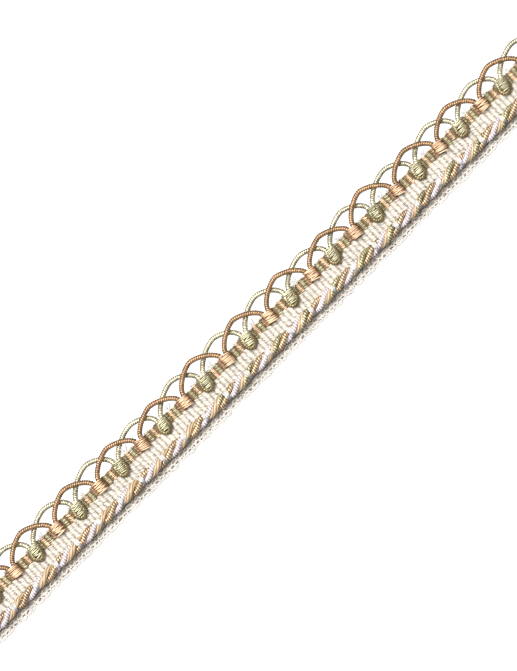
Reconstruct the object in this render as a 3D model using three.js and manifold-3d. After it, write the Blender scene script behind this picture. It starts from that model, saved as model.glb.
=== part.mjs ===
// A cut length of cord trim, lying face up. Millimetres, +Z up.
// X runs along the trim and Y across it, with the gimp loops at +Y and the sewing lip at -Y.
// The origin is under the middle of the trim's box, on the surface that the tape lies on.
import * as THREE from 'three';
import { mergeVertices } from 'three/addons/utils/BufferGeometryUtils.js';
import Module from 'manifold-3d';

// The repeat, from one peach knot to the next, and the cut length
const REPEAT = 22;
const REPEATS = 15;
const LENGTH = REPEAT * REPEATS;

// Levels across the trim
const HEADING_TOP = 4.55;
const BAND_BOTTOM = -4.75;
const TAPE_TOP = 3.55;
const LIP_EDGE = -12.52;

// Levels above the surface
const AIR = 0.3;
const TAPE_THICK = 1.0;
const BAND_BASE = TAPE_THICK + AIR;
const BAND_CREST = BAND_BASE + 1.1;

// The lip's knitted edge is uneven: two small waves of unlike pitch
const LIP_STEP = REPEAT / 10;
const LIP_WAVES = [
  { reach: 0.22, pitch: 5.3 },
  { reach: 0.16, pitch: 13.7 },
];

// Woven ribs, which run across the band
const RIBS_PER_REPEAT = 11;
const RIB_PITCH = REPEAT / RIBS_PER_REPEAT;
const RIB_GROOVE = 0.35;
const RIB_SHOULDER = 0.22;

// Gimp: a core wound with silk. It swings from knot to knot and turns back under each one
const GIMP_RADIUS = 0.95;
const GIMP_SIDES = 6;
const GIMP_ON_BAND = BAND_CREST + AIR + GIMP_RADIUS;
const ARCH_STEPS = 12;
const LEG_STEPS = 1;
const BEND_STEPS = 4;
const TURN_STEPS = BEND_STEPS + 2 * LEG_STEPS;
const CLIMB_FROM = HEADING_TOP + 0.5;
const CLIMB_TO = HEADING_TOP + 4.2;

// Each cord's first knot is so many repeats from the middle. The turn's bend starts turnDepth down and is
// turnLength long, and its foot lies so far towards -X. loopLevel is the centreline's height in the loops,
// where peach passes over green. A loop's reach is measured from the heading's top, and at its top it leans
// so far towards +X. Its arch is a circle's at an archPower of 2, and more pointed below that.
const GIMPS = [
  {
    name: 'peach_gimp',
    colour: 0xcf9a6c,
    firstKnot: -6.716,
    leg: 1.3,
    turnRadius: 1.35,
    turnDepth: 2.4,
    turnLength: 1.3,
    foot: 0.2,
    loopLevel: 3.4,
    lean: 0.3,
    archPower: 1.5,
    floatTop: -0.1,
    floatBottom: -4.3,
    floatHalfTop: 2.6,
    floatHalfBottom: 2.4,
    reaches: [7.1, 7.25, 7.25, 6.8, 6.6, 7.65, 7.35, 7.55, 6.7, 7.95, 7.0, 7.25, 7.1, 7.1],
  },
  {
    name: 'green_gimp',
    colour: 0xa8a478,
    firstKnot: -7.228,
    leg: 1.2,
    turnRadius: 1.9,
    turnDepth: 3.3,
    turnLength: 2.4,
    foot: 0.9,
    loopLevel: 1.1,
    lean: 1.5,
    archPower: 1.6,
    floatTop: -0.1,
    floatBottom: -5.4,
    floatHalfTop: 2.8,
    floatHalfBottom: 1.7,
    reaches: [7.2, 7.5, 7.4, 7.9, 6.8, 7.5, 7.7, 7.75, 6.9, 7.5, 7.2, 7.4, 7.0, 6.8],
  },
];

// The floats of silk that bind each turn down make a low cushion over it, narrower below its waist.
// Where they join the cord, faces that lie within the tolerance of each other become one.
const FLOAT_TOP = GIMP_ON_BAND + GIMP_RADIUS + 0.25;
const FLOAT_ROUND = 0.5;
const FLOAT_EDGE = 0.35;
const FLOAT_WAIST = 0.35;
const FACE_TOLERANCE = 0.02;

// Twisted cord: three plies, laid up left-handed and stitched down twice in each repeat.
// One ply's section is given over its third of a turn, from -0.5 to 0.5 of it.
const CORD_CENTRE_Y = -7.15;
const CORD_RADIUS = 2.4;
const CORD_CENTRE_Z = TAPE_THICK + AIR + CORD_RADIUS;
const PLIES = 3;
const PLY_SECTION = [
  { share: -0.5, radius: 0.64 * CORD_RADIUS },
  { share: -0.23, radius: 0.88 * CORD_RADIUS },
  { share: 0, radius: CORD_RADIUS },
  { share: 0.23, radius: 0.88 * CORD_RADIUS },
];
const LAY = 14.87;
const PLY_ON_TOP_AT = 9.3;
const STEPS_PER_STITCH = 7;
const STITCH_PITCH = REPEAT / 2;
const STITCH_OFFSET = 2.2;
const STITCH_PINCH = 0.26;
const STITCH_REACH = 1.4;

const wasm = await Module();
wasm.setup();

function cloth(colour, roughness) {
  return new THREE.MeshStandardMaterial({ color: colour, roughness, metalness: 0, flatShading: true });
}

function mesh(name, geometry, material) {
  const piece = new THREE.Mesh(geometry, material);
  piece.name = name;
  return piece;
}

function around(angle, radius) {
  return new THREE.Vector2(radius * Math.cos(angle), radius * Math.sin(angle));
}

function toSolid(geometry) {
  geometry.deleteAttribute('normal');
  geometry.deleteAttribute('uv');
  const merged = mergeVertices(geometry);
  return new wasm.Manifold(new wasm.Mesh({
    numProp: 3,
    vertProperties: merged.attributes.position.array,
    triVerts: new Uint32Array(merged.index.array),
  }));
}

function toGeometry(solid) {
  const { vertProperties, triVerts } = solid.getMesh();
  const geometry = new THREE.BufferGeometry();
  geometry.setAttribute('position', new THREE.BufferAttribute(vertProperties, 3));
  geometry.setIndex(new THREE.BufferAttribute(triVerts, 1));
  geometry.computeVertexNormals();
  return geometry;
}

// Flat tape behind the whole trim; its lower edge shows as the sewing lip
function lipTape() {
  const outline = new THREE.Shape();
  outline.moveTo(LENGTH / 2, TAPE_TOP);
  outline.lineTo(-LENGTH / 2, TAPE_TOP);
  for (let step = 0; step <= LENGTH / LIP_STEP; step += 1) {
    const x = step * LIP_STEP - LENGTH / 2;
    const rise = LIP_WAVES.reduce(
      (sum, wave) => sum + wave.reach * (1 + Math.sin((2 * Math.PI * x) / wave.pitch)) / 2,
      0,
    );
    outline.lineTo(x, LIP_EDGE + rise);
  }
  return new THREE.ExtrudeGeometry(outline, { depth: TAPE_THICK, bevelEnabled: false });
}

// Ribbed band, woven in one with its striped heading: the ribs' profile, run across the trim
function wovenBand() {
  const profile = new THREE.Shape();
  profile.moveTo(-LENGTH / 2, BAND_BASE);
  profile.lineTo(LENGTH / 2, BAND_BASE);
  for (let rib = RIBS_PER_REPEAT * REPEATS; rib > 0; rib -= 1) {
    const right = rib * RIB_PITCH - LENGTH / 2;
    profile.lineTo(right, BAND_CREST - RIB_GROOVE);
    profile.lineTo(right - RIB_PITCH * RIB_SHOULDER, BAND_CREST);
    profile.lineTo(right - RIB_PITCH * (1 - RIB_SHOULDER), BAND_CREST);
  }
  profile.lineTo(-LENGTH / 2, BAND_CREST - RIB_GROOVE);
  const band = new THREE.ExtrudeGeometry(profile, {
    depth: HEADING_TOP - BAND_BOTTOM,
    bevelEnabled: false,
  });
  return band.rotateX(Math.PI / 2).translate(0, HEADING_TOP, 0);
}

// How far a knot is drawn towards -X at a level below the heading's top, on its way to its foot
function footShift(gimp, y) {
  return (gimp.foot * y) / (gimp.turnDepth + gimp.turnLength);
}

// A gimp's centreline, a turn and an arch in each repeat and a last turn at the end.
// It is stepped by its own parameter, so that the small turns get their share of the steps.
class GimpLine extends THREE.Curve {
  constructor(gimp) {
    super();
    this.gimp = gimp;
    this.steps = gimp.reaches.length * (TURN_STEPS + ARCH_STEPS) + TURN_STEPS;
  }

  getUtoTmapping(u) {
    return u;
  }

  getPoint(t, target = new THREE.Vector3()) {
    const perRepeat = TURN_STEPS + ARCH_STEPS;
    const step = THREE.MathUtils.clamp(t, 0, 1) * this.steps;
    const repeat = Math.min(Math.floor(step / perRepeat), this.gimp.reaches.length);
    const along = step - repeat * perRepeat;
    const knotX = (this.gimp.firstKnot + repeat) * REPEAT;
    const [x, y] = along <= TURN_STEPS
      ? this.turn(along)
      : this.arch((along - TURN_STEPS) / ARCH_STEPS, this.gimp.reaches[repeat]);
    const shift = footShift(this.gimp, Math.min(y, 0));
    const climb = THREE.MathUtils.smoothstep(HEADING_TOP + y, CLIMB_FROM, CLIMB_TO);
    const z = THREE.MathUtils.lerp(GIMP_ON_BAND, this.gimp.loopLevel, climb);
    return target.set(knotX + x + shift, HEADING_TOP + y, z);
  }

  // Down one leg, round the bend and up the other leg, from the knot's middle
  turn(along) {
    const { leg, turnRadius, turnDepth, turnLength } = this.gimp;
    const bend = THREE.MathUtils.clamp((along - LEG_STEPS) / BEND_STEPS, 0, 1);
    const down = Math.min(along, TURN_STEPS - along, LEG_STEPS) / LEG_STEPS;
    const angle = Math.PI * (1 + bend);
    if (down < 1) {
      const side = along < LEG_STEPS ? -1 : 1;
      return [side * THREE.MathUtils.lerp(leg, turnRadius, down), -turnDepth * down];
    }
    return [turnRadius * Math.cos(angle), turnLength * Math.sin(angle) - turnDepth];
  }

  // Over to the next knot
  arch(share, reach) {
    const { leg, lean, archPower } = this.gimp;
    const halfSpan = REPEAT / 2 - leg;
    const angle = Math.PI * (1 - share);
    const across = Math.cos(angle);
    const x = Math.sign(across) * Math.abs(across) ** (2 / archPower);
    const y = Math.abs(Math.sin(angle)) ** (2 / archPower);
    return [REPEAT / 2 + halfSpan * x + lean * y, (reach - GIMP_RADIUS) * y];
  }
}

// The cushion of floats over one turn, as wide as its silk and rounded at its edge
function floatCushion(gimp) {
  const top = HEADING_TOP + gimp.floatTop - FLOAT_ROUND;
  const bottom = HEADING_TOP + gimp.floatBottom + FLOAT_ROUND;
  const halfTop = gimp.floatHalfTop - FLOAT_ROUND;
  const halfBottom = gimp.floatHalfBottom - FLOAT_ROUND;
  const waist = THREE.MathUtils.lerp(bottom, top, FLOAT_WAIST);
  const corners = [
    [-halfTop, top],
    [-halfTop, waist],
    [-halfBottom, bottom],
    [halfBottom, bottom],
    [halfTop, waist],
    [halfTop, top],
  ];
  const outline = new THREE.Shape(
    corners.map(([x, y]) => new THREE.Vector2(x + footShift(gimp, y - HEADING_TOP), y)),
  );
  const floor = BAND_CREST + AIR;
  const cushion = new THREE.ExtrudeGeometry(outline, {
    depth: FLOAT_TOP - floor - 2 * FLOAT_EDGE,
    bevelThickness: FLOAT_EDGE,
    bevelSize: FLOAT_ROUND,
    bevelSegments: 1,
  });
  return cushion.translate(0, 0, floor + FLOAT_EDGE);
}

function gimpCord(gimp) {
  const corners = [];
  for (let side = 0; side < GIMP_SIDES; side += 1) {
    const angle = (2 * Math.PI * side) / GIMP_SIDES;
    corners.push(around(angle, GIMP_RADIUS));
  }
  const section = new THREE.Shape(corners);
  const line = new GimpLine(gimp);
  let solid = toSolid(new THREE.ExtrudeGeometry(section, { extrudePath: line, steps: line.steps }));
  const knots = gimp.reaches.length + 1;
  for (let knot = 0; knot < knots; knot += 1) {
    const cushion = floatCushion(gimp).translate((gimp.firstKnot + knot) * REPEAT, 0, 0);
    solid = solid.add(toSolid(cushion));
  }
  return toGeometry(solid.simplify(FACE_TOLERANCE));
}

// Distance from x to the nearest stitch that holds the cord down
function fromStitch(x) {
  const places = (x - STITCH_OFFSET) / STITCH_PITCH - 0.5;
  return Math.abs(places - Math.round(places)) * STITCH_PITCH;
}

// The same shape seen in a mirror across Y, with its faces turned outwards again
function mirrored(geometry) {
  geometry.scale(1, -1, 1);
  const corners = [];
  for (let first = 0; first < geometry.attributes.position.count; first += 3) {
    corners.push(first, first + 2, first + 1);
  }
  geometry.setIndex(corners);
  return geometry;
}

// Cord of three plies, with their section turned along the length.
// It is turned right-handed and then mirrored, so that its faces run with the plies.
function twistedCord() {
  const corners = [];
  for (let ply = 0; ply < PLIES; ply += 1) {
    for (const { share, radius } of PLY_SECTION) {
      corners.push(around((2 * Math.PI * (ply + share)) / PLIES, radius));
    }
  }
  const cord = new THREE.ExtrudeGeometry(new THREE.Shape(corners), {
    depth: LENGTH,
    steps: (LENGTH / STITCH_PITCH) * STEPS_PER_STITCH,
    bevelEnabled: false,
  });
  cord.rotateY(Math.PI / 2).translate(-LENGTH / 2, 0, 0);
  const place = cord.attributes.position;
  for (let index = 0; index < place.count; index += 1) {
    const x = place.getX(index);
    const turn = 2 * Math.PI * ((x - PLY_ON_TOP_AT) / LAY + 0.5);
    const near = fromStitch(x) / STITCH_REACH;
    const girth = 1 - STITCH_PINCH * Math.exp(-near * near);
    const y = place.getY(index) * girth;
    const z = place.getZ(index) * girth;
    place.setY(index, y * Math.cos(turn) - z * Math.sin(turn));
    place.setZ(index, y * Math.sin(turn) + z * Math.cos(turn));
  }
  mirrored(cord).computeVertexNormals();
  return cord.translate(0, CORD_CENTRE_Y, CORD_CENTRE_Z);
}

const trim = new THREE.Group();
trim.add(mesh('lip_tape', lipTape(), cloth(0xe6e1d6, 0.9)));
trim.add(mesh('woven_band', wovenBand(), cloth(0xe9e0d2, 0.8)));
for (const gimp of GIMPS) {
  trim.add(mesh(gimp.name, gimpCord(gimp), cloth(gimp.colour, 0.55)));
}
trim.add(mesh('twisted_cord', twistedCord(), cloth(0xd9c3a6, 0.6)));

export default trim;
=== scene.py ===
# A cut length of cord trim: ribbed woven braid with gimp loops along one edge, and a twisted cord and a
# knitted sewing lip along the other. Metres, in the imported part's own frame: X runs along the trim, Y
# across it towards the loops, and Z up out of its face.

import math
import random

import bpy
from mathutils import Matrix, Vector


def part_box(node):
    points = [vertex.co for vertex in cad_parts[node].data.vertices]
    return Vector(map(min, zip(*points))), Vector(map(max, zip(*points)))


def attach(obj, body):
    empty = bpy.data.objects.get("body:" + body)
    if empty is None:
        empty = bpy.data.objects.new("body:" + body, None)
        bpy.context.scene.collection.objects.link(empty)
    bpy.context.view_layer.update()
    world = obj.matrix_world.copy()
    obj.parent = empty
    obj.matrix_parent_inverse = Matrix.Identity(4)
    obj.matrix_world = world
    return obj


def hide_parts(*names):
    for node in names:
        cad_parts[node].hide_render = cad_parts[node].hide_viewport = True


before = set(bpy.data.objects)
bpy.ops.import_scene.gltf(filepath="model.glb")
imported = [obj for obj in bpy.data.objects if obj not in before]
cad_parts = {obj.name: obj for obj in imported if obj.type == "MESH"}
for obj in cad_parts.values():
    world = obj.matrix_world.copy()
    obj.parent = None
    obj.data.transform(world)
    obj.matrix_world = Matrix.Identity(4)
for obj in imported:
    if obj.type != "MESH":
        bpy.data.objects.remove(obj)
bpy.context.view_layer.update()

# Lip tape
# A flat knitted tape of off-white cotton that lies behind the whole trim. Everything else is sewn to it,
# and its lower edge shows beside the cord as the lip that the trim is sewn on by.

MM = 0.001
TAPE_LOW, TAPE_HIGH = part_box("lip_tape")
LENGTH = TAPE_HIGH.x - TAPE_LOW.x
TAPE_THICK = 0.8 * MM
TAPE_STEP = 1.1 * MM
TAPE_ACROSS = 15
TAPE_EDGE_IN = 0.45 * MM
TAPE_EDGE_DROP = 0.35 * MM
TAPE_WAVES = [
    # reach, pitch
    (0.22 * MM, 5.3 * MM),
    (0.16 * MM, 13.7 * MM),
]
# How often the dye drifts in a metre and how far, how far it varies from fibre to fibre, how much duller
# the light fibres are, and how deep the fibres' relief is
DRIFT_SCALE = 110.0
DRIFT_SHARE = 0.22
FIBRE_SHARE = 0.25
FIBRE_DULLING = 0.6
FIBRE_RELIEF = 0.06 * MM
COTTON_FIBRE = 2600.0


def dye(red, green, blue):
    """A dyed yarn's colour as a shader value, from the 0 to 255 that a screen shows it as."""
    linear = [((c / 255 + 0.055) / 1.055) ** 2.4 for c in (red, green, blue)]
    return (*linear, 1.0)


def result(node):
    """The first output that a node's settings leave in use."""
    return next(socket for socket in node.outputs if socket.enabled)


def place(tree, kind, feeds=None, **settings):
    """Adds a node. Each feed is a node, a socket or a plain value, under its input's name or number."""
    node = tree.nodes.new(kind)
    for name, value in settings.items():
        setattr(node, name, value)
    live = [socket for socket in node.inputs if socket.enabled]
    for key, value in (feeds or {}).items():
        socket = live[key] if isinstance(key, int) else next(s for s in live if s.name == key)
        if isinstance(value, bpy.types.Node):
            value = result(value)
        if isinstance(value, bpy.types.NodeSocket):
            tree.links.new(value, socket)
        else:
            socket.default_value = value
    return node


def calc(tree, operation, *values):
    """Adds a Math node over one to three values."""
    return place(tree, "ShaderNodeMath", dict(enumerate(values)), operation=operation)


def vector_calc(tree, operation, *values):
    """Adds a Vector Math node. SCALE takes a vector or a colour, and then a number."""
    return place(tree, "ShaderNodeVectorMath", dict(enumerate(values)), operation=operation)


def mixed_dye(tree, share, first, second):
    """The first dye where the share is 0, and the second where it is 1."""
    mix = place(tree, "ShaderNodeMix", {"Factor": share, "A": first, "B": second}, data_type="RGBA")
    return result(mix)


def new_group(name, kind, takes, gives):
    """A node group with its named inputs and outputs. Takes are (name, socket type, default)."""
    group = bpy.data.node_groups.new(name, kind)
    for label, socket_type, default in takes:
        item = group.interface.new_socket(label, in_out="INPUT", socket_type=socket_type)
        if default is not None:
            item.default_value = default
    for label, socket_type in gives:
        group.interface.new_socket(label, in_out="OUTPUT", socket_type=socket_type)
    taken = group.nodes.new("NodeGroupInput").outputs
    given = group.nodes.new("NodeGroupOutput").inputs
    return group, taken, given


def build_yarn_look():
    """Shading of any yarn here: its light dye on a thread's crest, and a painted shade in the grooves
    between two threads and down its sides, with slow drifts of the dye, a little luck from thread to
    thread, and fine fibres as relief."""
    group, taken, given = new_group(
        "Yarn look",
        "ShaderNodeTree",
        [
            ("Light", "NodeSocketColor", dye(230, 190, 150)),
            ("Painted Shade", "NodeSocketColor", dye(150, 105, 70)),
            ("Crest", "NodeSocketFloat", 1.0),
            ("Crest Power", "NodeSocketFloat", 1.4),
            ("Luck", "NodeSocketFloat", 0.5),
            ("Luck Strength", "NodeSocketFloat", 0.12),
            ("Fibre Scale", "NodeSocketFloat", 5200.0),
            ("Sheen Roughness", "NodeSocketFloat", 0.42),
        ],
        [("Color", "NodeSocketColor"), ("Roughness", "NodeSocketFloat"), ("Height", "NodeSocketFloat")],
    )
    spot = place(group, "ShaderNodeTexCoord").outputs["Object"]
    drift = place(
        group, "ShaderNodeTexNoise", {"Vector": spot, "Scale": DRIFT_SCALE, "Detail": 2.0, "Roughness": 0.6}
    )
    fibre = place(
        group,
        "ShaderNodeTexNoise",
        {"Vector": spot, "Scale": taken["Fibre Scale"], "Detail": 2.0, "Roughness": 0.7},
    )
    crest = calc(group, "POWER", calc(group, "MAXIMUM", taken["Crest"], 0.0), taken["Crest Power"])
    shaded = mixed_dye(group, crest, taken["Painted Shade"], taken["Light"])
    luck = calc(group, "MULTIPLY", calc(group, "SUBTRACT", taken["Luck"], 0.5), taken["Luck Strength"])
    slow = calc(group, "MULTIPLY", calc(group, "SUBTRACT", drift, 0.5), DRIFT_SHARE)
    fine = calc(group, "MULTIPLY", calc(group, "SUBTRACT", fibre, 0.5), FIBRE_SHARE)
    gain = calc(group, "ADD", calc(group, "ADD", luck, slow), calc(group, "ADD", fine, 1.0))
    tinted = vector_calc(group, "SCALE", shaded, gain)
    dulled = calc(group, "MULTIPLY", fine, FIBRE_DULLING)
    rough = calc(group, "ADD", taken["Sheen Roughness"], dulled)
    group.links.new(result(tinted), given["Color"])
    group.links.new(result(rough), given["Roughness"])
    group.links.new(result(fibre), given["Height"])
    return group


YARN_LOOK = build_yarn_look()


def attribute(tree, name):
    """The value that a mesh carries under this name."""
    return place(tree, "ShaderNodeAttribute", attribute_name=name).outputs["Fac"]


def yarn_material(
    name, light, painted_shade, roughness=0.42, luck=0.12, crest_power=1.4, fibre=5200.0, relief=0.35, **shell
):
    """A dyed yarn, light on its crests and in its painted shade tone off them. Shell is what goes on the
    shader's own sockets, by name with _ for a space.
    """
    material = bpy.data.materials.new(name)
    material.use_nodes = True
    tree = material.node_tree
    shader = tree.nodes["Principled BSDF"]
    look = place(
        tree,
        "ShaderNodeGroup",
        {
            "Light": light,
            "Painted Shade": painted_shade,
            "Crest": attribute(tree, "crest"),
            "Crest Power": crest_power,
            "Luck": attribute(tree, "luck"),
            "Luck Strength": luck,
            "Fibre Scale": fibre,
            "Sheen Roughness": roughness,
        },
        node_tree=YARN_LOOK,
    )
    bump = place(
        tree,
        "ShaderNodeBump",
        {"Height": look.outputs["Height"], "Strength": relief, "Distance": FIBRE_RELIEF},
    )
    tree.links.new(look.outputs["Color"], shader.inputs["Base Color"])
    tree.links.new(look.outputs["Roughness"], shader.inputs["Roughness"])
    tree.links.new(bump.outputs["Normal"], shader.inputs["Normal"])
    for label, value in shell.items():
        shader.inputs[label.replace("_", " ")].default_value = value
    return material


def show(name, mesh, nodes=()):
    """A finished mesh becomes a piece of the trim, which rides on its one body."""
    piece = bpy.data.objects.new(name, mesh)
    bpy.context.scene.collection.objects.link(piece)
    mesh.name = name
    mesh.shade_smooth()
    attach(piece, "root")
    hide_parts(*nodes)
    return piece


def stations(step):
    """Evenly spaced places along the whole trim, about a step apart."""
    count = round(LENGTH / step)
    return [TAPE_LOW.x + LENGTH * i / count for i in range(count + 1)]


def sheet_mesh(step, shares, edge, top, bottom):
    """A closed sheet over a grid of stations and shares of its width. Edge gives its two sides' y at x, and
    top and bottom give its z at x and share."""
    verts = []
    places = stations(step)
    for surface in (top, bottom):
        for x in places:
            low, high = edge(x)
            verts += [(x, low + (high - low) * share, surface(x, share)) for share in shares]
    across = len(shares)
    layer = len(places) * across
    faces = []
    for i in range(len(places) - 1):
        for j in range(across - 1):
            a = i * across + j
            b = a + across
            faces.append((a, b, b + 1, a + 1))
            faces.append((layer + a, layer + a + 1, layer + b + 1, layer + b))
    for i in range(len(places) - 1):
        a = i * across
        b = a + across
        faces.append((a, layer + a, layer + b, b))
        a += across - 1
        b += across - 1
        faces.append((a, b, layer + b, layer + a))
    last = layer - across
    for j in range(across - 1):
        faces.append((j, j + 1, layer + j + 1, layer + j))
        faces.append((last + j, layer + last + j, layer + last + j + 1, last + j + 1))
    mesh = bpy.data.meshes.new("sheet")
    mesh.from_pydata(verts, [], faces)
    return mesh


def tape_edges(x):
    """The tape's wavy lower edge, and its straight upper edge behind the heading."""
    wave = sum(reach * (1 + math.sin(2 * math.pi * x / pitch)) / 2 for reach, pitch in TAPE_WAVES)
    return TAPE_LOW.y + TAPE_EDGE_IN + wave, TAPE_HIGH.y


lip = sheet_mesh(
    TAPE_STEP,
    [i / TAPE_ACROSS for i in range(TAPE_ACROSS + 1)],
    tape_edges,
    lambda x, share: TAPE_THICK - (TAPE_EDGE_DROP if share == 0 else 0),
    lambda x, share: 0.0,
)
# The bare tape's cotton is painted darker than the stitches, as the shade in the gaps between them and
# under the cord
lip_ground_shade = yarn_material(
    "lip ground", dye(180, 169, 155), dye(174, 162, 147), roughness=0.9, fibre=COTTON_FIBRE
)
lip.materials.append(lip_ground_shade)
lip_sheet = show("lip_tape_sheet", lip, ["lip_tape"])

# Lip stitches
# The tape is knitted, so its bare edge is two rows of soft thick chain stitches, each looped through the
# one before, with small dark gaps and an uneven outer line.

THREAD_SIDES = 6
STITCH_ALONG = 2.1 * MM
STITCH_ROWS_APART = 1.3 * MM
STITCH_THREAD = 0.36 * MM
STITCH_HALF_LONG = 1.3 * MM
STITCH_HALF_WIDE = 0.72 * MM
STITCH_STEPS = 12
STITCH_START = (TAPE_LOW.x + 1.4 * MM, TAPE_LOW.y + 2.0 * MM, 0.85 * MM)


def with_crest(name, verts, faces, crests):
    """A mesh whose points carry crest, which says how far up its thread each of them lies; its material
    paints the crest light and the rest in painted shade.
    """
    mesh = bpy.data.meshes.new(name)
    mesh.from_pydata(verts, [], faces)
    stored = mesh.attributes.new("crest", "FLOAT", "POINT")
    stored.data.foreach_set("value", crests)
    return mesh


def stitch_seed():
    """One closed loop of thread, painted lighter on top and with painted shade underneath."""
    verts, crests = [], []
    for i in range(STITCH_STEPS):
        turn = 2 * math.pi * i / STITCH_STEPS
        x, y = STITCH_HALF_LONG * math.cos(turn), STITCH_HALF_WIDE * math.sin(turn)
        out_x, out_y = STITCH_HALF_WIDE * math.cos(turn), STITCH_HALF_LONG * math.sin(turn)
        size = math.hypot(out_x, out_y)
        for j in range(THREAD_SIDES):
            roll = 2 * math.pi * j / THREAD_SIDES
            reach = STITCH_THREAD * math.cos(roll) / size
            verts.append((x + out_x * reach, y + out_y * reach, STITCH_THREAD * math.sin(roll)))
            crests.append(0.5 + 0.5 * math.sin(roll))
    faces = []
    for i in range(STITCH_STEPS):
        for j in range(THREAD_SIDES):
            a = i * THREAD_SIDES
            b = (i + 1) % STITCH_STEPS * THREAD_SIDES
            k = (j + 1) % THREAD_SIDES
            faces.append((a + j, b + j, b + k, a + k))
    return with_crest("stitch", verts, faces, crests)


def carry(tree, geometry, **values):
    """Stores values on a geometry's points by name, for its material and for later nodes."""
    for name, value in values.items():
        geometry = place(
            tree,
            "GeometryNodeStoreNamedAttribute",
            {"Geometry": geometry, "Name": name, "Value": value},
            data_type="FLOAT",
            domain="POINT",
        )
    return geometry


def end_tree(tree, geometry, taken, given):
    """Ends a geometry tree, with all of it made real and in the material that the tree is given."""
    real = place(tree, "GeometryNodeRealizeInstances", {"Geometry": geometry})
    done = place(tree, "GeometryNodeSetMaterial", {"Geometry": real, "Material": taken["Material"]})
    tree.links.new(result(done), given["Geometry"])


def build_laid_rows():
    """The geometry tree that lays a seed, such as a stitch or a float, in columns and rows."""
    tree, taken, given = new_group(
        "Laid rows",
        "GeometryNodeTree",
        [
            ("Seed Piece", "NodeSocketGeometry", None),
            ("Columns", "NodeSocketInt", 10),
            ("Rows", "NodeSocketInt", 2),
            ("Start", "NodeSocketVector", (0, 0, 0)),
            ("Column Step", "NodeSocketFloat", 0.002),
            ("Row Step", "NodeSocketFloat", 0.0005),
            ("Brick Shift", "NodeSocketFloat", 0.0),
            ("Row Lead", "NodeSocketFloat", 0.0),
            ("Top Width", "NodeSocketFloat", 1.0),
            ("Bottom Width", "NodeSocketFloat", 1.0),
            ("Tilt", "NodeSocketFloat", 0.0),
            ("Slant", "NodeSocketFloat", 0.0),
            ("Slant Spread", "NodeSocketFloat", 0.0),
            ("Place Spread", "NodeSocketVector", (0, 0, 0)),
            ("Column Sway", "NodeSocketFloat", 0.0),
            ("Size Spread", "NodeSocketFloat", 0.0),
            ("Chance Seed", "NodeSocketInt", 1),
            ("Material", "NodeSocketMaterial", None),
        ],
        [("Geometry", "NodeSocketGeometry")],
    )
    index = place(tree, "GeometryNodeInputIndex")
    column = calc(tree, "FLOOR", calc(tree, "DIVIDE", calc(tree, "ADD", index, 0.5), taken["Rows"]))
    row = calc(tree, "SUBTRACT", index, calc(tree, "MULTIPLY", column, taken["Rows"]))
    odd = calc(tree, "MODULO", column, 2.0)

    def chance(low, high, offset, kind="FLOAT", member=index):
        """A value by chance for each seed, or for each column where member is the column. The offset keeps
        one kind of chance apart from the next."""
        seed = calc(tree, "ADD", taken["Chance Seed"], float(offset))
        feeds = {"Min": low, "Max": high, "Seed": seed, "ID": member}
        return place(tree, "FunctionNodeRandomValue", feeds, data_type=kind)

    lead = calc(tree, "MULTIPLY", column, taken["Column Step"])
    x = calc(tree, "MULTIPLY_ADD", row, taken["Row Lead"], lead)
    brick = calc(tree, "MULTIPLY", odd, taken["Brick Shift"])
    y = calc(tree, "SUBTRACT", brick, calc(tree, "MULTIPLY", row, taken["Row Step"]))
    sway = chance(-1.0, 1.0, 50, member=column)
    y = calc(tree, "MULTIPLY_ADD", sway, taken["Column Sway"], y)
    grid = place(tree, "ShaderNodeCombineXYZ", {"X": x, "Y": y})
    loose = chance((-1, -1, -1), (1, 1, 1), 10, "FLOAT_VECTOR")
    spot = vector_calc(tree, "ADD", grid, taken["Start"])
    spot = vector_calc(tree, "ADD", spot, vector_calc(tree, "MULTIPLY", loose, taken["Place Spread"]))
    total = calc(tree, "MULTIPLY", taken["Columns"], taken["Rows"])
    points = place(tree, "GeometryNodePoints", {"Count": total, "Position": spot})
    points = carry(tree, points, row=row, luck=chance(0.0, 1.0, 20))
    last_row = calc(tree, "MAXIMUM", calc(tree, "SUBTRACT", taken["Rows"], 1.0), 1.0)
    down = calc(tree, "DIVIDE", row, last_row)
    wide = place(
        tree, "ShaderNodeMix", {"Factor": down, "A": taken["Top Width"], "B": taken["Bottom Width"]}
    )
    size = calc(tree, "MULTIPLY_ADD", chance(-1.0, 1.0, 30), taken["Size Spread"], 1.0)
    width = calc(tree, "MULTIPLY", wide, size)
    scale = place(tree, "ShaderNodeCombineXYZ", {"X": width, "Y": size, "Z": 1.0})
    turn = calc(tree, "MULTIPLY_ADD", chance(-1.0, 1.0, 40), taken["Slant Spread"], taken["Slant"])
    euler = place(tree, "ShaderNodeCombineXYZ", {"X": 0.0, "Y": taken["Tilt"], "Z": turn})
    rotation = place(tree, "FunctionNodeEulerToRotation", {"Euler": euler})
    laid = place(
        tree,
        "GeometryNodeInstanceOnPoints",
        {"Points": points, "Instance": taken["Seed Piece"], "Rotation": rotation, "Scale": scale},
    )
    end_tree(tree, laid, taken, given)
    return tree


LAID_ROWS = build_laid_rows()


def grown(tree, seed_mesh, values):
    """Runs a geometry tree over a seed mesh and gives the plain mesh that comes out."""
    holder = bpy.data.objects.new("seed", seed_mesh)
    bpy.context.scene.collection.objects.link(holder)
    modifier = holder.modifiers.new("tree", "NODES")
    modifier.node_group = tree
    sockets = {item.name: item.identifier for item in tree.interface.items_tree if item.in_out == "INPUT"}
    for label, value in values.items():
        modifier[sockets[label]] = value
    graph = bpy.context.evaluated_depsgraph_get()
    mesh = bpy.data.meshes.new_from_object(
        holder.evaluated_get(graph), preserve_all_data_layers=True, depsgraph=graph
    )
    bpy.data.objects.remove(holder)
    bpy.data.meshes.remove(seed_mesh)
    return mesh


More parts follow.
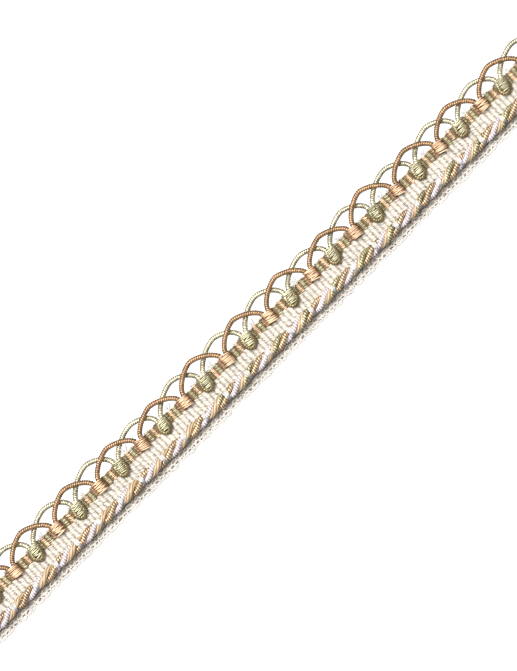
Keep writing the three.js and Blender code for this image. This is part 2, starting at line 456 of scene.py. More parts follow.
lip_cotton = yarn_material(
    "lip cotton",
    dye(216, 209, 200),
    dye(112, 104, 95),
    roughness=0.85,
    fibre=COTTON_FIBRE,
    relief=0.7,
    Sheen_Weight=0.25,
)
lip_stitches = grown(
    LAID_ROWS,
    stitch_seed(),
    {
        "Columns": int(LENGTH / STITCH_ALONG) - 1,
        "Rows": 2,
        "Start": STITCH_START,
        "Column Step": STITCH_ALONG,
        "Row Step": STITCH_ROWS_APART,
        "Row Lead": STITCH_ALONG / 2,
        "Tilt": math.radians(9),
        "Slant Spread": math.radians(30),
        "Place Spread": (0.4 * MM, 0.16 * MM, 0.15 * MM),
        "Size Spread": 0.25,
        "Chance Seed": 3,
        "Material": lip_cotton,
    },
)
show("lip_stitches", lip_stitches)

# Woven band
# A ribbed band of soft cream silk, woven in one with its heading. Thick warps lie side by side under it and
# make the ribs, and it is sewn to the tape. Its lower edge is tucked down beside the cord.

REPEAT = 22 * MM
BAND_LOW, BAND_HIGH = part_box("woven_band")
BAND_SHARES = [0, 0.03, 0.07, 0.3, 0.55, 0.8, 1]
BAND_TUCK = 0.7 * MM
BAND_TUCK_DROP = 0.6 * MM
BAND_TUCK_SHARE = 0.06
BAND_EDGE_IN = 0.5 * MM
GROUND_DROP = 0.25 * MM
RIB_PITCH = REPEAT / 11
RIB_FIRST = TAPE_LOW.x + 0.25 * RIB_PITCH
RIB_STATIONS = 6
RIB_GROOVE = 0.3 * MM
RIB_ROUNDNESS = 2.5
WEFT_ROW = 0.555 * MM
HEADING_ROWS = 8
HEADING_TOP = BAND_HIGH.y
CREAM_TOP = HEADING_TOP - HEADING_ROWS * WEFT_ROW


def rib_top(x, share):
    """The band's face: a rounded rib for each warp, falling away at the tucked edge."""
    place_in_rib = (x - RIB_FIRST) / RIB_PITCH
    from_crest = abs(place_in_rib - round(place_in_rib)) * 2
    rib = RIB_GROOVE * (1 - from_crest**RIB_ROUNDNESS)
    tuck = BAND_TUCK_DROP if share < BAND_TUCK_SHARE else 0
    return BAND_HIGH.z - GROUND_DROP - RIB_GROOVE + rib - tuck


cream_silk = yarn_material(
    "band cream",
    dye(218, 211, 201),
    dye(168, 158, 141),
    roughness=0.5,
    luck=0.3,
    crest_power=1.0,
    Sheen_Weight=0.15,
)
heading_ground = yarn_material("heading ground", dye(150, 124, 92), dye(140, 114, 84), roughness=0.8)
band = sheet_mesh(
    RIB_PITCH / RIB_STATIONS,
    BAND_SHARES,
    lambda x: (BAND_LOW.y - BAND_TUCK, BAND_HIGH.y - BAND_EDGE_IN),
    rib_top,
    lambda x, share: BAND_LOW.z,
)
# The sheet carries no crest, so its cream part wears the cream's painted shade tone all over; it shows in
# the gaps between the wefts
band.materials.append(cream_silk)
band.materials.append(heading_ground)
for face in band.polygons:
    face.material_index = 1 if face.center.y > CREAM_TOP and face.normal.z > 0.5 else 0
band_sheet = show("woven_band_sheet", band, ["woven_band"])

# Wefts of the band
# Over each warp the silk weft floats in short level stitches, half a step higher on every other rib. The
# lower rows are cream, and the heading's rows are dyed in stripes that repeat with the knots.

RIBS = round(LENGTH / RIB_PITCH)
CREAM_ROWS = 10
WEFT_THICK = 0.46 * MM
WEFT_Z = BAND_HIGH.z - 0.42 * MM


def blend(a, b, share):
    """From a to b, by a share that is held between 0 and 1."""
    share = min(max(share, 0), 1)
    return a + (b - a) * share


def float_seed(half, rise, thick, segments, fall=2.2, point=2.0, tips=6.0, flank=0.4):
    """One float of silk: it rises out of the weave, bows over what it covers and dives in again. Its crest
    says where its material paints light, and it falls off into painted shade towards its ends and down its
    sides. Fall says how late it dives, point how blunt it is, tips how late its crest fades, and flank how
    light its painted sides are."""
    verts = [(-half, 0, 0)]
    crests = [0.0]
    for i in range(1, segments):
        share = 2 * i / segments - 1
        centre = rise * (1 - abs(share) ** fall)
        full = thick / 2 * (1 - abs(share) ** (2 * point)) ** 0.5
        for j in range(THREAD_SIDES):
            roll = 2 * math.pi * j / THREAD_SIDES
            verts.append((half * share, -full * math.cos(roll), centre + full * math.sin(roll)))
            crests.append((1 - abs(share) ** tips) * blend(flank, 1, math.sin(roll)))
    verts.append((half, 0, 0))
    crests.append(0.0)
    end = len(verts) - 1
    last = 1 + (segments - 2) * THREAD_SIDES
    faces = []
    for j in range(THREAD_SIDES):
        k = (j + 1) % THREAD_SIDES
        faces.append((0, 1 + k, 1 + j))
        faces.append((end, last + j, last + k))
        for i in range(segments - 2):
            a = 1 + i * THREAD_SIDES
            b = a + THREAD_SIDES
            faces.append((a + j, a + k, b + k, b + j))
    return with_crest("float", verts, faces, crests)


def weft_rows(seed, rows, top, material, chance_seed, slant, sway):
    """Some rows of short floats over every rib, down from the given top."""
    return grown(
        LAID_ROWS,
        seed,
        {
            "Columns": RIBS,
            "Rows": rows,
            "Start": (RIB_FIRST, top - WEFT_ROW / 2, WEFT_Z),
            "Column Step": RIB_PITCH,
            "Row Step": WEFT_ROW,
            "Brick Shift": -WEFT_ROW / 2,
            "Slant": slant,
            "Slant Spread": math.radians(5),
            "Place Spread": (0.2 * MM, 0.07 * MM, 0.07 * MM),
            "Column Sway": sway,
            "Size Spread": 0.1,
            "Chance Seed": chance_seed,
            "Material": material,
        },
    )


PEACH_PALE = dye(250, 214, 172)
PEACH = dye(226, 182, 138)
TAN = dye(206, 170, 128)
BROWN = dye(172, 134, 96)
OLIVE = dye(158, 144, 102)
OLIVE_PALE = dye(184, 174, 132)
SAGE = dye(216, 210, 170)
# The heading's stripes from one peach knot's left edge to the next
STRIPES = [
    # width, yarn of the even rows, yarn of the odd rows
    (3.85 * MM, PEACH, BROWN),
    (1.15 * MM, TAN, BROWN),
    (1.15 * MM, SAGE, OLIVE_PALE),
    (1.35 * MM, BROWN, OLIVE),
    (1.5 * MM, PEACH_PALE, PEACH_PALE),
    (1.15 * MM, OLIVE, BROWN),
    (4.5 * MM, OLIVE, OLIVE),
    (1.7 * MM, OLIVE_PALE, OLIVE),
    (2.0 * MM, PEACH_PALE, PEACH_PALE),
    (1.85 * MM, SAGE, OLIVE_PALE),
    (1.8 * MM, TAN, BROWN),
]
STRIPES_FROM = 4.4 * MM
STRIPE_SWAY = 0.5 * MM
# How dark the heading's painted shade is, as a share of each stripe's dye
HEADING_SHADE_SHARE = 0.27
# The knots push the ribs between them aside, the most at this place in the repeat
RIBS_PUSHED = 1.0 * MM
RIBS_PUSHED_AT = 12.4 * MM


def coordinate(tree, axis):
    """A surface point's X, Y or Z in the trim's own frame."""
    spot = place(tree, "ShaderNodeTexCoord").outputs["Object"]
    return place(tree, "ShaderNodeSeparateXYZ", {"Vector": spot}).outputs[axis]


def heading_dye(tree):
    """The dye of a float in the heading, by its place along the repeat and its row."""
    odd_row = calc(tree, "MODULO", calc(tree, "ROUND", attribute(tree, "row")), 2.0)
    x = calc(tree, "MULTIPLY_ADD", odd_row, STRIPE_SWAY, coordinate(tree, "X"))
    share = calc(tree, "FRACT", calc(tree, "DIVIDE", calc(tree, "SUBTRACT", x, STRIPES_FROM), REPEAT))
    widths, *yarns = zip(*STRIPES)
    ramps = []
    for row_yarns in yarns:
        ramp = place(tree, "ShaderNodeValToRGB", {"Fac": share})
        ramp.color_ramp.interpolation = "CONSTANT"
        stops = ramp.color_ramp.elements
        stops.remove(stops[-1])
        reached = 0
        for width, yarn in zip(widths, row_yarns):
            position = reached / sum(widths)
            stop = stops.new(position) if reached else stops[0]
            stop.position = position
            stop.color = yarn
            reached += width
        ramps.append(ramp.outputs["Color"])
    return mixed_dye(tree, odd_row, *ramps)


def look_of(material):
    """A material's yarn look, for a dye that changes over the surface."""
    return next(node for node in material.node_tree.nodes if node.type == "GROUP")


def heading_material():
    """Yarn whose light tone comes from the stripe's dye, and whose painted shade is that dye darkened."""
    material = yarn_material("heading silk", PEACH, BROWN, luck=0.5, crest_power=1.8)
    tree = material.node_tree
    light = heading_dye(tree)
    painted_shade = vector_calc(tree, "SCALE", light, HEADING_SHADE_SHARE)
    tree.links.new(light, look_of(material).inputs["Light"])
    tree.links.new(result(painted_shade), look_of(material).inputs["Painted Shade"])
    return material


heading_wefts = weft_rows(
    float_seed(half=0.54 * RIB_PITCH, rise=0.6 * MM, thick=WEFT_THICK, segments=8, tips=2.6),
    HEADING_ROWS,
    HEADING_TOP,
    heading_material(),
    chance_seed=11,
    slant=math.radians(-9),
    sway=0.38 * MM,
)
for point in heading_wefts.vertices:
    phase = 2 * math.pi * (point.co.x - RIBS_PUSHED_AT) / REPEAT
    point.co.x += RIBS_PUSHED * max(math.cos(phase), 0)
show("heading_wefts", heading_wefts)
cream_seed = float_seed(
    half=0.62 * RIB_PITCH,
    rise=0.4 * MM,
    thick=1.12 * WEFT_ROW,
    segments=10,
    point=4.0,
    tips=1.3,
    flank=0.72,
)
cream_wefts = weft_rows(
    cream_seed,
    CREAM_ROWS,
    CREAM_TOP,
    cream_silk,
    chance_seed=12,
    slant=math.radians(-14),
    sway=0.1 * MM,
)
show("cream_wefts", cream_wefts)

# Gimp loops
# Two gimps, each a cotton core wound close with silk, one peach gold and one sage green. Each arches from
# knot to knot beyond the heading and turns down and up again under the floats at each knot. The peach one
# lies over the green one, half a repeat along.

GIMP_RADIUS = 0.95 * MM
# The thread is made as thick as its wraps' crests, and the grooves sink in from there
GIMP_CREST = 1.03 * MM
GIMP_WRAP = 0.82 * MM
GIMP_GROOVE = 0.26 * MM
GIMP_ON_BAND = 3.65 * MM
CLIMB_FROM = HEADING_TOP + 0.5 * MM
CLIMB_TO = HEADING_TOP + 4.2 * MM
LEG_STEPS = 5
BEND_STEPS = 12
ARCH_STEPS = 32
# Reaches are how far the arches stand out of the heading, in millimetres
GIMPS = {
    "peach": {
        "first": -6.716 * REPEAT,
        "leg": 1.3 * MM,
        "turn_radius": 1.35 * MM,
        "turn_depth": 2.4 * MM,
        "turn_length": 1.3 * MM,
        "foot": 0.2 * MM,
        "level": 3.4 * MM,
        "lean": 0.3 * MM,
        "arch_power": 1.5,
        "reaches": [7.1, 7.25, 7.25, 6.8, 6.6, 7.65, 7.35, 7.55, 6.7, 7.95, 7.0, 7.25, 7.1, 7.1],
    },
    "green": {
        "first": -7.228 * REPEAT,
        "leg": 1.2 * MM,
        "turn_radius": 1.9 * MM,
        "turn_depth": 3.3 * MM,
        "turn_length": 2.4 * MM,
        "foot": 0.9 * MM,
        "level": 1.1 * MM,
        "lean": 1.5 * MM,
        "arch_power": 1.6,
        "reaches": [7.2, 7.5, 7.4, 7.9, 6.8, 7.5, 7.7, 7.75, 6.9, 7.5, 7.2, 7.4, 7.0, 6.8],
    },
}


def eased(low, high, value):
    """0 below low, 1 above high, and smooth between them."""
    share = min(max((value - low) / (high - low), 0), 1)
    return share * share * (3 - 2 * share)


def gimp_knots(gimp):
    """The middle of each knot, along the trim."""
    return [gimp["first"] + i * REPEAT for i in range(len(gimp["reaches"]) + 1)]


def gimp_turn(gimp, knot):
    """Points down one leg, round the bend and up the other leg."""
    leg, radius, depth, length = (gimp[k] for k in ("leg", "turn_radius", "turn_depth", "turn_length"))
    down = [(-blend(leg, radius, i / LEG_STEPS), -depth * i / LEG_STEPS) for i in range(LEG_STEPS)]
    angles = [math.pi * (1 + i / BEND_STEPS) for i in range(BEND_STEPS + 1)]
    bend = [(radius * math.cos(angle), length * math.sin(angle) - depth) for angle in angles]
    up = [(-x, y) for x, y in reversed(down)]
    foot = gimp["foot"] / (depth + length)
    return [(knot + x + foot * y, HEADING_TOP + y) for x, y in down + bend + up]


def gimp_arch(gimp, knot, reach):
    """Points over to the next knot. An arch power of 2 is an ellipse, and a lower one is more pointed."""
    half_span = REPEAT / 2 - gimp["leg"]
    power = 2 / gimp["arch_power"]
    points = []
    for i in range(1, ARCH_STEPS):
        angle = math.pi * (1 - i / ARCH_STEPS)
        across = math.copysign(abs(math.cos(angle)) ** power, math.cos(angle))
        rise = math.sin(angle) ** power
        x = knot + REPEAT / 2 + half_span * across + gimp["lean"] * rise
        points.append((x, HEADING_TOP + (reach * MM - GIMP_RADIUS) * rise))
    return points


def gimp_path(gimp):
    """The whole gimp's middle line, low on the band and at its own level out in the loops."""
    flat = []
    knots = gimp_knots(gimp)
    for knot, reach in zip(knots, gimp["reaches"]):
        flat += gimp_turn(gimp, knot) + gimp_arch(gimp, knot, reach)
    flat += gimp_turn(gimp, knots[-1])
    return [(x, y, blend(GIMP_ON_BAND, gimp["level"], eased(CLIMB_FROM, CLIMB_TO, y))) for x, y in flat]


def line_mesh(points, girth=None, outward=None):
    """A line of points for a tree to make thread along. Girth scales the thread, point by point."""
    mesh = bpy.data.meshes.new("line")
    mesh.from_pydata(points, [(i, i + 1) for i in range(len(points) - 1)], [])
    stored = mesh.attributes.new("girth", "FLOAT", "POINT")
    stored.data.foreach_set("value", girth or [1.0] * len(points))
    if outward:
        stored = mesh.attributes.new("outward", "FLOAT_VECTOR", "POINT")
        stored.data.foreach_set("vector", [value for vector in outward for value in vector])
    return mesh


def carried(tree, name, kind="FLOAT"):
    """What the points of a geometry carry under this name."""
    return place(tree, "GeometryNodeInputNamedAttribute", {"Name": name}, data_type=kind)


def swept(tree, line, profile):
    """A tube along a line, as thick as the line's girth says, with closed ends."""
    return place(
        tree,
        "GeometryNodeCurveToMesh",
        {"Curve": line, "Profile Curve": profile, "Scale": carried(tree, "girth"), "Fill Caps": True},
    )


def build_wound_thread():
    """The geometry tree that winds silk round a core: a tube along a line, with a rounded wrap for each
    turn of the silk. The wraps lean like a two-start screw's thread, so grooves follow the faces. Each
    point carries its crest, and the material paints shade into the grooves by it."""
    tree, taken, given = new_group(
        "Wound thread",
        "GeometryNodeTree",
        [
            ("Line", "NodeSocketGeometry", None),
            ("Radius", "NodeSocketFloat", 0.0008),
            ("Wrap", "NodeSocketFloat", 0.0008),
            ("Rings per Wrap", "NodeSocketInt", 6),
            ("Sides", "NodeSocketInt", 12),
            ("Lean", "NodeSocketFloat", 1.0),
            ("Roundness", "NodeSocketFloat", 2.2),
            ("Groove", "NodeSocketFloat", 0.00015),
            ("Unevenness", "NodeSocketFloat", 0.00004),
            ("Chance Seed", "NodeSocketInt", 1),
            ("Material", "NodeSocketMaterial", None),
        ],
        [("Geometry", "NodeSocketGeometry")],
    )
    index = place(tree, "GeometryNodeInputIndex")
    line = place(tree, "GeometryNodeMeshToCurve", {"Mesh": taken["Line"]})
    step = calc(tree, "DIVIDE", taken["Wrap"], taken["Rings per Wrap"])
    line = place(tree, "GeometryNodeResampleCurve", {"Curve": line, "Length": step}, mode="LENGTH")
    line = place(tree, "GeometryNodeSetCurveNormal", {"Curve": line}, mode="Z_UP")
    line = carry(tree, line, ring=index)
    profile = place(
        tree, "GeometryNodeCurvePrimitiveCircle", {"Resolution": taken["Sides"], "Radius": taken["Radius"]}
    )
    profile = carry(tree, profile, side=index)
    profile = place(tree, "GeometryNodeTransform", {"Geometry": profile, "Rotation": (0, 0, -math.pi / 2)})
    tube = swept(tree, line, profile)
    leaned = calc(tree, "MULTIPLY_ADD", carried(tree, "side"), taken["Lean"], carried(tree, "ring"))
    wraps = calc(tree, "DIVIDE", calc(tree, "ADD", leaned, 0.5), taken["Rings per Wrap"])
    across = calc(tree, "ABSOLUTE", calc(tree, "MULTIPLY_ADD", calc(tree, "FRACT", wraps), 2.0, -1.0))
    crest = calc(tree, "SUBTRACT", 1.0, calc(tree, "POWER", across, taken["Roundness"]))
    luck = place(
        tree,
        "FunctionNodeRandomValue",
        {"Min": 0.0, "Max": 1.0, "ID": calc(tree, "FLOOR", wraps), "Seed": taken["Chance Seed"]},
        data_type="FLOAT",
    )
    tube = carry(tree, tube, crest=crest, luck=luck)
    sunk = calc(tree, "SUBTRACT", carried(tree, "crest"), 1.0)
    sink = calc(tree, "MULTIPLY", sunk, taken["Groove"])
    odds = calc(tree, "SUBTRACT", carried(tree, "luck"), 0.5)
    swell = calc(tree, "MULTIPLY", odds, taken["Unevenness"])
    normal = place(tree, "GeometryNodeInputNormal")
    shift = vector_calc(tree, "SCALE", normal, calc(tree, "ADD", sink, swell))
    wound = place(tree, "GeometryNodeSetPosition", {"Geometry": tube, "Offset": shift})
    end_tree(tree, wound, taken, given)
    return tree


WOUND_THREAD = build_wound_thread()

# Satin winding gleams more, and varies more from wrap to wrap
SATIN = {"luck": 0.6, "Metallic": 0.8}
SAGE_SILK = dye(238, 231, 201)
# A painted shade for the sage gimp's turn on the cream, which it fades into between these two levels
SAGE_TURN_SHADE = dye(144, 128, 94)
TURN_SHADE_FROM = HEADING_TOP - 0.8 * MM
TURN_SHADE_TO = HEADING_TOP - 2.6 * MM


def sage_gimp_material():
    """Sage silk, whose light tone is darkened to a painted shade where the gimp turns back on the cream."""
    material = yarn_material(
        "sage gimp silk", SAGE_SILK, dye(112, 102, 70), roughness=0.44, crest_power=2.0, **SATIN
    )
    tree = material.node_tree
    y = coordinate(tree, "Y")
    down = place(
        tree,
        "ShaderNodeMapRange",
        {"Value": y, "From Min": TURN_SHADE_FROM, "From Max": TURN_SHADE_TO, "To Min": 0.0, "To Max": 1.0},
    )
    tree.links.new(mixed_dye(tree, down, SAGE_SILK, SAGE_TURN_SHADE), look_of(material).inputs["Light"])
    return material


peach_silk = yarn_material(
    "peach silk", dye(192, 156, 119), dye(80, 54, 34), roughness=0.44, crest_power=2.2, **SATIN
)
GIMP_SILKS = {"peach": peach_silk, "green": sage_gimp_material()}

for colour, gimp in GIMPS.items():
    wound = grown(
        WOUND_THREAD,
        line_mesh(gimp_path(gimp)),
        {"Radius": GIMP_CREST, "Wrap": GIMP_WRAP, "Groove": GIMP_GROOVE, "Material": GIMP_SILKS[colour]},
    )
    show(f"{colour}_gimp_cord", wound, [f"{colour}_gimp"])

# Knot floats
# At each knot, long floats of the gimp's own silk go over both legs of its turn and bind it down into the
# heading. The peach ones make a block, and the green ones a shield that narrows towards the cream.

KNOT_HALF = 2.75 * MM
KNOT_RISE = 2.75 * MM
KNOT_THREAD = 0.5 * MM
KNOT_ROWS = 8
KNOT_FROM_TOP = 0.3 * MM
KNOT_Z = BAND_HIGH.z - 0.1 * MM
KNOTS = {
    "peach": {
        "Row Step": 0.57 * MM,
        "Row Lead": -0.02 * MM,
        "Top Width": 0.94,
        "Bottom Width": 1.0,
        "Slant": math.radians(-10),
    },
    "green": {
        "Row Step": 0.6 * MM,
        "Row Lead": -0.09 * MM,
        "Top Width": 1.0,
        "Bottom Width": 0.72,
        "Slant": math.radians(-3),
    },
}
FLOAT_SILKS = {
    "peach": yarn_material(
        "peach float silk", dye(246, 210, 172), dye(130, 88, 56), roughness=0.45, luck=0.4, Metallic=0.3
    ),
    "green": yarn_material(
        "sage float silk", dye(218, 211, 174), dye(84, 76, 50), roughness=0.45, luck=0.7, Metallic=0.4
    ),
}

for colour, own_shape in KNOTS.items():
    gimp = GIMPS[colour]
    floats = grown(
        LAID_ROWS,
        float_seed(KNOT_HALF, KNOT_RISE, KNOT_THREAD, segments=14, fall=5.0, point=3.0, tips=3.0),
        {
            "Columns": len(gimp_knots(gimp)),
            "Rows": KNOT_ROWS,
            "Start": (gimp["first"], HEADING_TOP - KNOT_FROM_TOP, KNOT_Z),
            "Column Step": REPEAT,
            "Slant Spread": math.radians(11),
            "Place Spread": (0.3 * MM, 0.09 * MM, 0.2 * MM),
            "Size Spread": 0.08,
            "Chance Seed": 21,
            "Material": FLOAT_SILKS[colour],
            **own_shape,
        },
    )
    show(f"{colour}_knot_floats", floats)

# Twisted cord
# Three plies laid up left-handed and stitched down: a gimp wound with peach silk, one wound with white
# silk, and a pair of flat tan floss and thin sage gimp. The sage gimp starts hidden in the cord's core and
# works its way out on top of the floss towards the right.

CORD_LOW, CORD_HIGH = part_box("twisted_cord")
CORD_Y = (CORD_LOW.y + CORD_HIGH.y) / 2
CORD_Z = (CORD_LOW.z + CORD_HIGH.z) / 2
CORD_LAY = 14.87 * MM
WHITE_ON_TOP_AT = 9.3 * MM
PLY_RADIUS = 1.12 * MM
PLY_FROM_AXIS = 1.28 * MM
PLY_WRAP = 0.93 * MM
PLY_GROOVE = 0.4 * MM
PLY_STEP = 0.5 * MM
PEACH_LAG = math.radians(-125)
FLOSS_LAG = math.radians(99)
SAGE_LAG = math.radians(126)
SAGE_HIDDEN_AT = -65 * MM
SAGE_OUT_AT = -15 * MM
TIE_PITCH = REPEAT / 2
TIE_OFFSET = 2.2 * MM
TIE_PINCH = 0.26
TIE_REACH = 1.4 * MM
FLOSS_HALF_WIDTH = 1.2 * MM
FLOSS_HALF_THICKNESS = 0.95 * MM


def pinch(x):
    """How far the nearest stitch draws the cord in, as a scale of its girth."""
    places = (x - TIE_OFFSET) / TIE_PITCH - 0.5
    near = abs(places - round(places)) * TIE_PITCH / TIE_REACH
    return 1 - TIE_PINCH * math.exp(-near * near)


def ply_line(lag, from_axis=(PLY_FROM_AXIS, PLY_FROM_AXIS), girth=(1.0, 1.0)):
    """A ply's middle line, its girth and its outward direction. How far it runs from the cord's axis and
    its girth are given for where the sage gimp is hidden, and for where it is out."""
    points, sizes, outward = [], [], []
    for x in stations(PLY_STEP):
        sage_out = eased(SAGE_HIDDEN_AT, SAGE_OUT_AT, x)
        angle = math.pi / 2 + lag + 2 * math.pi * (WHITE_ON_TOP_AT - x) / CORD_LAY
        reach = blend(*from_axis, sage_out) * pinch(x)
        points.append((x, CORD_Y + reach * math.cos(angle), CORD_Z + reach * math.sin(angle)))
        sizes.append(blend(*girth, sage_out) * pinch(x))
        outward.append((0, math.cos(angle), math.sin(angle)))
    return line_mesh(points, sizes, outward)


gold_silk = yarn_material(
    "golden silk", dye(238, 208, 170), dye(92, 64, 40), roughness=0.46, crest_power=2.0, **SATIN
)
white_silk = yarn_material(
    "white silk",
    dye(236, 228, 230),
    dye(128, 110, 112),
    roughness=0.4,
    luck=0.3,
    crest_power=1.8,
    Metallic=0.15,
)
sage_silk = yarn_material(
    "sage silk", dye(220, 214, 172), dye(62, 54, 30), roughness=0.46, crest_power=2.0, **SATIN
)
GIMP_PLIES = {
    "cord_peach_ply": (ply_line(PEACH_LAG), gold_silk),
    "cord_white_ply": (ply_line(0.0), white_silk),
    "cord_sage_ply": (
        ply_line(SAGE_LAG, from_axis=(0.3 * MM, 1.6 * MM), girth=(0.5, 0.88)),
        sage_silk,
    ),
}
for name, (line, silk) in GIMP_PLIES.items():
    ply = grown(
        WOUND_THREAD,
        line,
        {"Radius": PLY_RADIUS, "Wrap": PLY_WRAP, "Groove": PLY_GROOVE, "Material": silk},
    )
    show(name, ply, ["twisted_cord"])


def build_flat_floss():
    """The geometry tree for untwisted floss: a flat soft ribbon of strands, turned to face outwards. Each
    strand takes four of the ribbon's sides, and wanders a little from ring to ring. Each point carries its
    place on its strand as its crest, so the material paints shade between the strands."""
    tree, taken, given = new_group(
        "Flat floss",
        "GeometryNodeTree",
        [
            ("Line", "NodeSocketGeometry", None),
            ("Half Width", "NodeSocketFloat", 0.0012),
            ("Half Thickness", "NodeSocketFloat", 0.0008),
            ("Strands", "NodeSocketInt", 6),
            ("Step", "NodeSocketFloat", 0.0005),
            ("Strand Depth", "NodeSocketFloat", 0.00008),
            ("Wander", "NodeSocketFloat", 0.11),
            ("Material", "NodeSocketMaterial", None),
        ],
        [("Geometry", "NodeSocketGeometry")],
    )
    index = place(tree, "GeometryNodeInputIndex")
    outward = carried(tree, "outward", "FLOAT_VECTOR")
    line = place(tree, "GeometryNodeMeshToCurve", {"Mesh": taken["Line"]})
    line = place(
        tree, "GeometryNodeResampleCurve", {"Curve": line, "Length": taken["Step"]}, mode="LENGTH"
    )
    line = place(tree, "GeometryNodeSetCurveNormal", {"Curve": line, "Normal": outward}, mode="FREE")
    line = carry(tree, line, ring=index)
    sides = calc(tree, "MULTIPLY", taken["Strands"], 4.0)
    profile = place(tree, "GeometryNodeCurvePrimitiveCircle", {"Resolution": sides, "Radius": 1.0})
    profile = carry(tree, profile, side=index)
    scale = place(
        tree, "ShaderNodeCombineXYZ", {"X": taken["Half Thickness"], "Y": taken["Half Width"], "Z": 1.0}
    )
    profile = place(tree, "GeometryNodeTransform", {"Geometry": profile, "Scale": scale})
    tube = swept(tree, line, profile)
    around = calc(tree, "MULTIPLY", carried(tree, "side"), math.pi / 2)
    phase = calc(tree, "MULTIPLY_ADD", carried(tree, "ring"), taken["Wander"], around)
    crest = calc(tree, "MULTIPLY_ADD", calc(tree, "COSINE", phase), 0.5, 0.5)
    # Luck here is the crest again, so it darkens the painted shade between the strands instead of varying
    # at random
    tube = carry(tree, tube, crest=crest, luck=crest)
    sunk = calc(tree, "SUBTRACT", carried(tree, "crest"), 1.0)
    sink = calc(tree, "MULTIPLY", sunk, taken["Strand Depth"])
    shift = vector_calc(tree, "SCALE", place(tree, "GeometryNodeInputNormal"), sink)
    combed = place(tree, "GeometryNodeSetPosition", {"Geometry": tube, "Offset": shift})
    end_tree(tree, combed, taken, given)
    return tree


tan_floss = yarn_material("tan floss", dye(216, 190, 154), dye(136, 110, 80), roughness=0.4)
floss = grown(
    build_flat_floss(),
    ply_line(FLOSS_LAG, from_axis=(1.3 * MM, 1.35 * MM)),
    {"Half Width": FLOSS_HALF_WIDTH, "Half Thickness": FLOSS_HALF_THICKNESS, "Material": tan_floss},
)
show("cord_tan_floss", floss, ["twisted_cord"])

# Cord stitches
# A few turns of fluffy white cotton go over the cord every half repeat, draw it in and hold it down. The
# inner turns run down to the tape, and the two outer ones sink in between the plies on top of the cord.

TIE_THREADS = 5
TIE_SPACING = 0.36 * MM
TIE_THREAD = 0.14 * MM
TIE_RING = 1.72 * MM
TIE_STEPS = 14
# Places round the cord in degrees, from level with its middle on the band's side up over its top
TIE_START = -30
TIE_OUTER_END = 95
TIE_INNER_END = 215
# Past these places the threads fade into a painted shade on the tape's side of the cord, down to this share
# of their light
TIE_SHADE_START = 80
TIE_SHADE_END = 125
TIE_SHADED = 0.15


def tie_seed():
    """One stitch's turns: threads side by side over the cord, from the band down to the tape. They are
    painted lighter on their outer side, and fade into painted shade past the cord's top.
    """
    verts, faces, crests = [], [], []
    for thread in range(TIE_THREADS):
        x = (thread - (TIE_THREADS - 1) / 2) * TIE_SPACING
        first = len(verts)
        end = TIE_OUTER_END if thread in (0, TIE_THREADS - 1) else TIE_INNER_END
        for i in range(TIE_STEPS + 1):
            round_cord = blend(TIE_START, end, i / TIE_STEPS)
            shade = blend(1, TIE_SHADED, eased(TIE_SHADE_START, TIE_SHADE_END, round_cord))
            angle = math.radians(round_cord)
            for j in range(THREAD_SIDES):
                roll = 2 * math.pi * j / THREAD_SIDES
                along = x + TIE_THREAD * math.cos(roll)
                reach = TIE_RING + TIE_THREAD * math.sin(roll)
                verts.append((along, reach * math.cos(angle), reach * math.sin(angle)))
                crests.append(shade * (0.5 + 0.5 * math.sin(roll)))
        for i in range(TIE_STEPS):
            for j in range(THREAD_SIDES):
                a = first + i * THREAD_SIDES
                b = a + THREAD_SIDES
                k = (j + 1) % THREAD_SIDES
                faces.append((a + j, b + j, b + k, a + k))
        faces.append(tuple(first + j for j in range(THREAD_SIDES)))
        faces.append(tuple(first + TIE_STEPS * THREAD_SIDES + j for j in reversed(range(THREAD_SIDES))))
    return with_crest("tie", verts, faces, crests)


# The stitch cotton's blue-grey second tone is a painted shade
tie_cotton = yarn_material(
    "stitch cotton",
    dye(238, 236, 233),
    dye(120, 122, 130),
    roughness=0.8,
    fibre=COTTON_FIBRE,
    relief=0.6,
    Sheen_Weight=0.3,
)
ties = grown(
    LAID_ROWS,
    tie_seed(),
    {
        "Columns": round(LENGTH / TIE_PITCH),
        "Rows": 1,
        "Start": (TIE_OFFSET + TIE_PITCH * (0.5 - LENGTH / TIE_PITCH / 2), CORD_Y, CORD_Z),
        "Column Step": TIE_PITCH,
        "Slant Spread": math.radians(5),
        "Place Spread": (0.15 * MM, 0.0, 0.0),
        "Size Spread": 0.03,
        "Chance Seed": 31,
        "Material": tie_cotton,
    },
)
show("cord_stitches", ties)

# Loose thread ends
# A small white tuft of cut thread ends stands out of the heading's edge to the right of each green knot.
# They are the ends of the sewing cotton, curled as they were left.

END_THREAD = 0.12 * MM
END_STEPS = 6
END_TIP = 0.5
ENDS_IN_TUFT = 18
TUFT_FROM_KNOT = 4.8 * MM
TUFT_IN = 0.3 * MM
TUFT_Z = 2.5 * MM


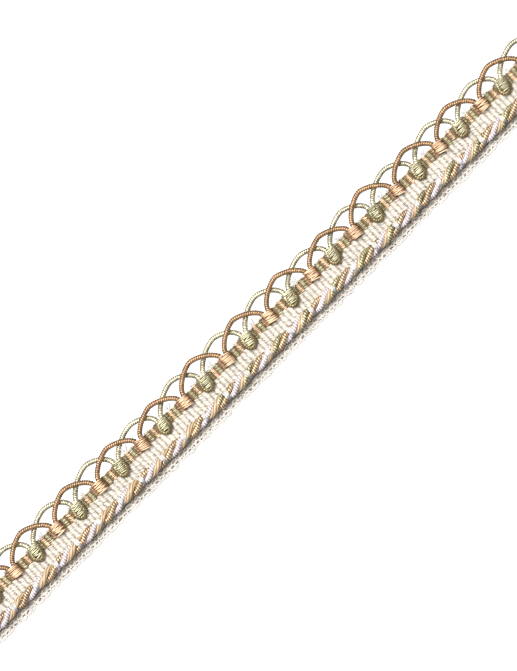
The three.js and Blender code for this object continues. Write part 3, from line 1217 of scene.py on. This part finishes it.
def tuft_seed():
    """Curled hairs out of one spot, as fine four-sided threads painted lightest on top and in shade
    underneath.
    """
    dice = random.Random(5)
    verts, faces, crests = [], [], []
    for _ in range(ENDS_IN_TUFT):
        heading = math.radians(dice.uniform(20, 160))
        bend = dice.uniform(-1.6, 1.6)
        reach = dice.uniform(1.4, 2.6) * MM
        lift = dice.uniform(0.0, 0.7)
        x, y, z = dice.uniform(-0.4, 0.4) * MM, 0.0, 0.0
        first = len(verts)
        for i in range(END_STEPS + 1):
            out_x, out_y = math.sin(heading), -math.cos(heading)
            size = END_THREAD * (1 if i < END_STEPS else END_TIP)
            verts += [
                (x + out_x * size, y + out_y * size, z),
                (x, y, z + size),
                (x - out_x * size, y - out_y * size, z),
                (x, y, z - size),
            ]
            crests += [0.7, 1.0, 0.7, 0.4]
            x += math.cos(heading) * reach / END_STEPS
            y += math.sin(heading) * reach / END_STEPS
            z += lift * reach / END_STEPS
            heading += bend / END_STEPS
        for i in range(END_STEPS):
            a = first + 4 * i
            faces += [(a + j, a + (j + 1) % 4, a + 4 + (j + 1) % 4, a + 4 + j) for j in range(4)]
        faces.append((first + 3, first + 2, first + 1, first))
        faces.append(tuple(first + 4 * END_STEPS + j for j in range(4)))
    return with_crest("tuft", verts, faces, crests)


tufts = grown(
    LAID_ROWS,
    tuft_seed(),
    {
        "Columns": len(GIMPS["green"]["reaches"]),
        "Rows": 1,
        "Start": (GIMPS["green"]["first"] + TUFT_FROM_KNOT, HEADING_TOP - TUFT_IN, TUFT_Z),
        "Column Step": REPEAT,
        "Slant Spread": math.radians(20),
        "Place Spread": (0.3 * MM, 0.1 * MM, 0.2 * MM),
        "Size Spread": 0.25,
        "Chance Seed": 41,
        "Material": tie_cotton,
    },
)
show("thread_ends", tufts)

# Floor
# A plain pale board under the trim, which isn't part of it. The camera sees it as even white, and the trim
# gets as much light back from it as from a grey one.

FLOOR_HALF = 1.2
FLOOR_Z = -0.2 * MM
FLOOR_GREY = 0.16
FLOOR_GLOW = 1.2

floor_mesh = bpy.data.meshes.new("floor")
corners = [(x * FLOOR_HALF, y * FLOOR_HALF, FLOOR_Z) for x, y in ((-1, -1), (1, -1), (1, 1), (-1, 1))]
floor_mesh.from_pydata(corners, [], [(0, 1, 2, 3)])
floor = bpy.data.objects.new("floor", floor_mesh)
bpy.context.scene.collection.objects.link(floor)
board = bpy.data.materials.new("pale board")
board.use_nodes = True
board_shader = board.node_tree.nodes["Principled BSDF"]
board_shader.inputs["Base Color"].default_value = (FLOOR_GREY, FLOOR_GREY, FLOOR_GREY, 1)
board_shader.inputs["Roughness"].default_value = 0.9
board_shader.inputs["Emission Color"].default_value = (1, 1, 1, 1)
seen = place(board.node_tree, "ShaderNodeLightPath").outputs["Is Camera Ray"]
glow = calc(board.node_tree, "MULTIPLY", seen, FLOOR_GLOW)
board.node_tree.links.new(result(glow), board_shader.inputs["Emission Strength"])
floor_mesh.materials.append(board)

# Light
# One high, slightly soft key from beyond the loops, and an even pale surround. The Standard view keeps the
# ground white.

KEY_STRENGTH = 4.6
KEY_SOFTNESS = math.radians(24)
KEY_HEIGHT = math.radians(62)
KEY_TURN = math.radians(25)
SURROUND_STRENGTH = 0.6

key = bpy.data.lights.new("key", "SUN")
key.energy = KEY_STRENGTH
key.angle = KEY_SOFTNESS
key_lamp = bpy.data.objects.new("key", key)
bpy.context.scene.collection.objects.link(key_lamp)
key_lamp.rotation_euler = (KEY_HEIGHT - math.pi / 2, 0, KEY_TURN)

world = bpy.data.worlds.new("surround")
bpy.context.scene.world = world
world.use_nodes = True
surround = world.node_tree.nodes["Background"]
surround.inputs["Color"].default_value = (1, 1, 1, 1)
surround.inputs["Strength"].default_value = SURROUND_STRENGTH
bpy.context.scene.view_settings.view_transform = "Standard"

# Camera
# Straight above the trim, which crosses the picture corner to corner, and so far away that its levels
# don't shift against each other.

VIEW_CENTRE = (-1.6 * MM, 0.33 * MM)
VIEW_DISTANCE = 1.5
VIEW_TALL = 246 * MM
VIEW_TURN = math.radians(-45)
SENSOR = 36.0

camera = bpy.data.cameras.new("camera")
camera.sensor_width = SENSOR
camera.lens = SENSOR * VIEW_DISTANCE / VIEW_TALL
camera.clip_end = 10
camera_object = bpy.data.objects.new("camera", camera)
bpy.context.scene.collection.objects.link(camera_object)
camera_object.location = (*VIEW_CENTRE, VIEW_DISTANCE + CORD_Z)
camera_object.rotation_euler = (0, 0, VIEW_TURN)
bpy.context.scene.camera = camera_object
